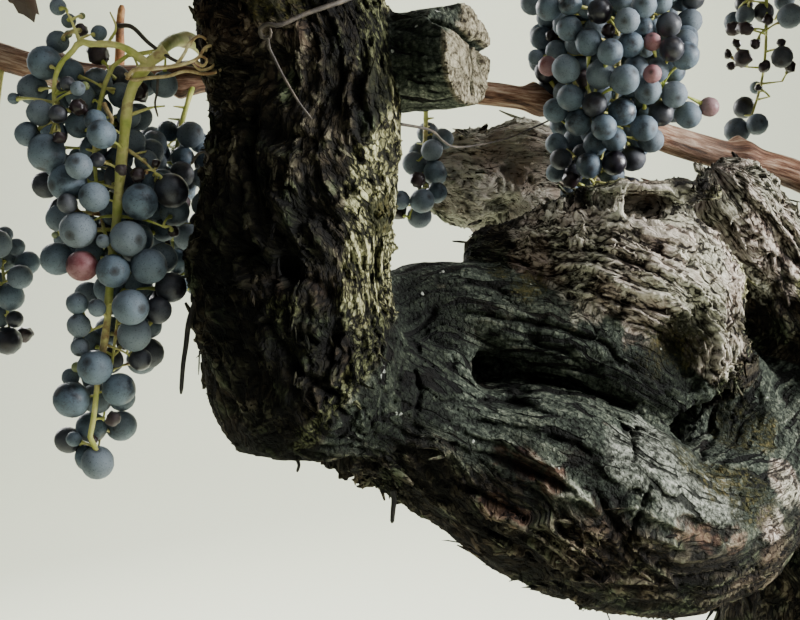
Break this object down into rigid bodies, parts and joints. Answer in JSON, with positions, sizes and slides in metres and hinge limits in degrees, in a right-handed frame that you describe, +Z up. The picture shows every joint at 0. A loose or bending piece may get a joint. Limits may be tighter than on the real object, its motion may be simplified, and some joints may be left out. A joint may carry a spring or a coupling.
{
  "type": "old grapevine with ripe black grapes",
  "caption": "Old rooted grapevine: a thick gnarled trunk and arms, fruiting canes with bunches of black grapes, and autumn foliage above.",
  "frame": {"origin": "middle of the flat cut under the trunk, at ground level", "axes": "+Z up the trunk, -Y towards the side that shows the arms and fruit best, +X to the right seen from there"},
  "size_m": [1.0635, 0.7256, 1.5618],
  "materials": {
    "old_bark": "rough, fibrous and peeling, with lichen and moss",
    "cut_wood": "weathered saw cut with drying cracks",
    "cane_bark": "smooth to fibrous, satin",
    "green_stalk": "satin",
    "grape_skin": "matt waxy bloom over dark skin",
    "autumn_leaf": "matt"
  },
  "bodies": {
    "root": {"trunk": "old_bark", "lower_limb": "old_bark", "front_arm": "old_bark", "upper_limb": "old_bark", "burl": "old_bark", "right_arm": "old_bark", "back_arm": "old_bark", "rear_arm": "old_bark", "cut_spur": "cut_wood", "long_cane": "cane_bark", "long_cane_tip": "cane_bark", "upper_cane": "cane_bark", "back_cane": "cane_bark", "right_cane": "cane_bark", "rear_cane": "cane_bark", "fruit_shoot": "green_stalk", "bunch_front": "grape_skin", "bunch_behind_arm": "grape_skin", "bunch_far_left": "grape_skin", "bunch_upper": "grape_skin", "bunch_rear": "grape_skin", "bunch_middle": "grape_skin", "bunch_right": "grape_skin", "bunch_back": "grape_skin", "bunch_left": "grape_skin", "foliage_front": "autumn_leaf", "foliage_left": "autumn_leaf", "foliage_back": "autumn_leaf", "foliage_right": "autumn_leaf", "foliage_rear": "autumn_leaf", "foliage_top": "autumn_leaf"}
  },
  "joints": []
}
